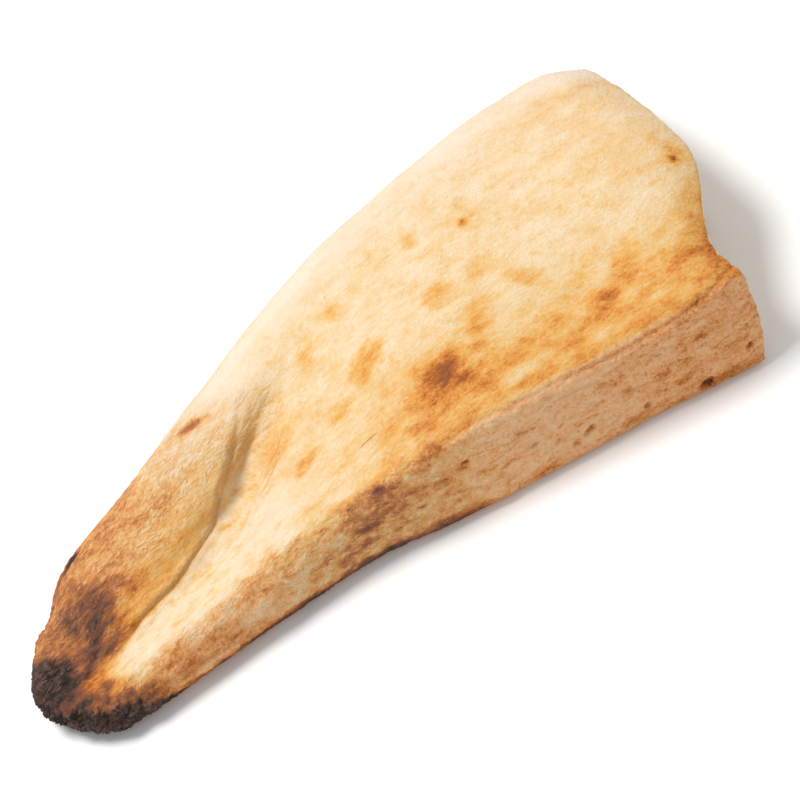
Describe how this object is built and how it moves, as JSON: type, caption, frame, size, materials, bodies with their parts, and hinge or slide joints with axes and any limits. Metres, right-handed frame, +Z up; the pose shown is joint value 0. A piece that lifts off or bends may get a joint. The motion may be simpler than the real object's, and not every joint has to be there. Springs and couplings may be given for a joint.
{
  "type": "shoti bread",
  "caption": "End piece of a long pointed flatbread, cut across the middle: flat underside, crowned top, slanted side, a fold that runs to a charred tip, open crumb at the cut.",
  "frame": {"origin": "middle of the underside's bounding box, on the surface that the bread rests on", "axes": "+X from the cut to the charred tip, +Y to the slanted side, +Z up through the crown"},
  "size_m": [0.2374, 0.1152, 0.0374],
  "materials": {
    "baked_crust": "matt pale cream crust, toasted golden to brown in patches, charred black at the tip, with a pale open crumb at the cut"
  },
  "bodies": {
    "root": {"shoti_end": "baked_crust"}
  },
  "joints": []
}
